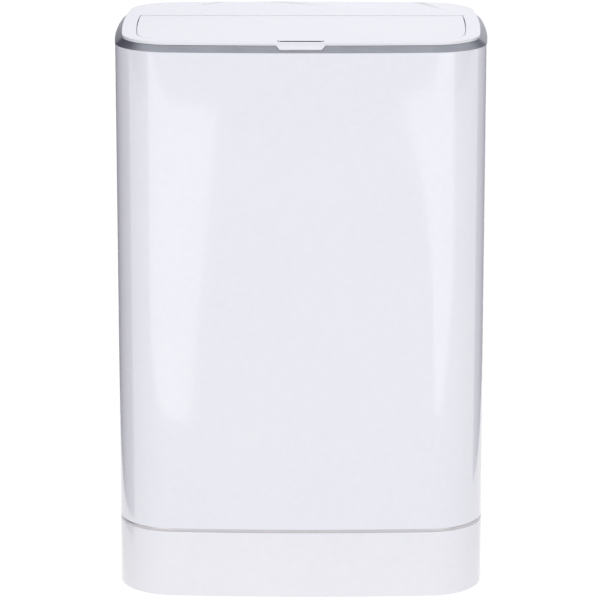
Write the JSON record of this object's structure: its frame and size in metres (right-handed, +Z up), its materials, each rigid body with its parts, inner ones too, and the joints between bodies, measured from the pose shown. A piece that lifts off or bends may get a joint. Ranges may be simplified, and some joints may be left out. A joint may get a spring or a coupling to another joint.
{
  "type": "trash compactor",
  "caption": "Tall hand-worked kitchen trash compactor: rounded bin with an inner bucket, hinged lid, inset access flap and a lazy-tongs press plate.",
  "frame": {"origin": "floor level, under the middle of the bin", "axes": "+Z up; -Y is the front with the finger tab; +X is the right-hand side seen from behind the bin, and the right of the front view"},
  "size_m": [0.42, 0.3, 0.64],
  "materials": {
    "white_moulding": "gloss",
    "white_enamel": "gloss",
    "satin_aluminium": "satin",
    "dark_moulding": "matt",
    "grey_polypropylene": "satin",
    "black_rubber": "matt",
    "zinc_steel": "satin",
    "bright_steel": "polished",
    "link_steel": "satin",
    "spring_steel": "satin",
    "magnet": "satin",
    "filter_foam": "matt"
  },
  "bodies": {
    "root": {"bag_retainer": "dark_moulding", "base_plinth": "white_moulding", "base_screws": "zinc_steel", "body_shell": "white_enamel", "bottom_cover": "dark_moulding", "bucket": "grey_polypropylene", "bucket_pads": "black_rubber", "foot_pads": "black_rubber", "hinge_brackets": "zinc_steel", "lid_hinge_pins": "bright_steel", "lower_trim_strip": "satin_aluminium", "rim_frame": "dark_moulding", "top_trim_ring": "satin_aluminium"},
    "lid": {"carrier_screws": "zinc_steel", "catch_magnets": "magnet", "filter_frame": "dark_moulding", "filter_pad": "filter_foam", "flap_pins": "bright_steel", "lid_frame": "white_moulding", "lid_gasket": "black_rubber", "press_carrier": "dark_moulding", "return_springs": "spring_steel"},
    "flap": {"flap_liner": "grey_polypropylene", "flap_panel": "white_moulding", "flap_screws": "zinc_steel", "flap_seal": "black_rubber"},
    "upper_outer_link": {"front_link_pins": "bright_steel", "outer_upper_arms": "link_steel", "top_rear_rod": "bright_steel", "upper_centre_pins": "bright_steel"},
    "upper_inner_link": {"inner_upper_arms": "link_steel", "middle_rear_rod": "bright_steel", "top_slider_pins": "bright_steel"},
    "lower_inner_link": {"inner_lower_arms": "link_steel", "lower_centre_pins": "bright_steel"},
    "lower_outer_link": {"bottom_slider_pins": "bright_steel", "outer_lower_arms": "link_steel"},
    "press": {"handle_bow": "satin_aluminium", "handle_grip": "black_rubber", "handle_screws": "zinc_steel", "plate_pins": "bright_steel", "plate_rails": "dark_moulding", "plate_wiper": "black_rubber", "press_plate": "dark_moulding"}
  },
  "joints": [
    {"name": "lid_hinge", "type": "hinge", "parent": "root", "child": "lid", "pos_m": [0, 0.143, 0.6345], "axis": [-1, 0, 0], "range_deg": [0, 90]},
    {"name": "flap_hinge", "type": "hinge", "parent": "lid", "child": "flap", "pos_m": [0, 0.038, 0.6368], "axis": [-1, 0, 0], "range_deg": [0, 94]},
    {"name": "press_drop", "type": "hinge", "parent": "lid", "child": "upper_outer_link", "pos_m": [0, 0.09, 0.612], "axis": [1, 0, 0], "range_deg": [0, 42], "stiffness_Nm_per_rad": 7, "springref_deg": -51.57},
    {"name": "upper_cross", "type": "hinge", "parent": "upper_outer_link", "child": "upper_inner_link", "pos_m": [0, 0.00088, 0.59947], "axis": [1, 0, 0], "range_deg": [-84, 0]},
    {"name": "front_link", "type": "hinge", "parent": "upper_outer_link", "child": "lower_inner_link", "pos_m": [0, -0.08825, 0.58695], "axis": [1, 0, 0], "range_deg": [-84, 0]},
    {"name": "lower_cross", "type": "hinge", "parent": "lower_inner_link", "child": "lower_outer_link", "pos_m": [0, 0.00088, 0.57442], "axis": [1, 0, 0], "range_deg": [0, 84]},
    {"name": "plate_pivot", "type": "hinge", "parent": "lower_inner_link", "child": "press", "pos_m": [0, 0.09, 0.5619], "axis": [1, 0, 0], "range_deg": [0, 42]}
  ],
  "couplings": [
    {"joint": "upper_cross", "follows": "press_drop", "ratio": -2},
    {"joint": "front_link", "follows": "press_drop", "ratio": -2},
    {"joint": "lower_cross", "follows": "press_drop", "ratio": 2},
    {"joint": "plate_pivot", "follows": "press_drop", "ratio": 1}
  ]
}
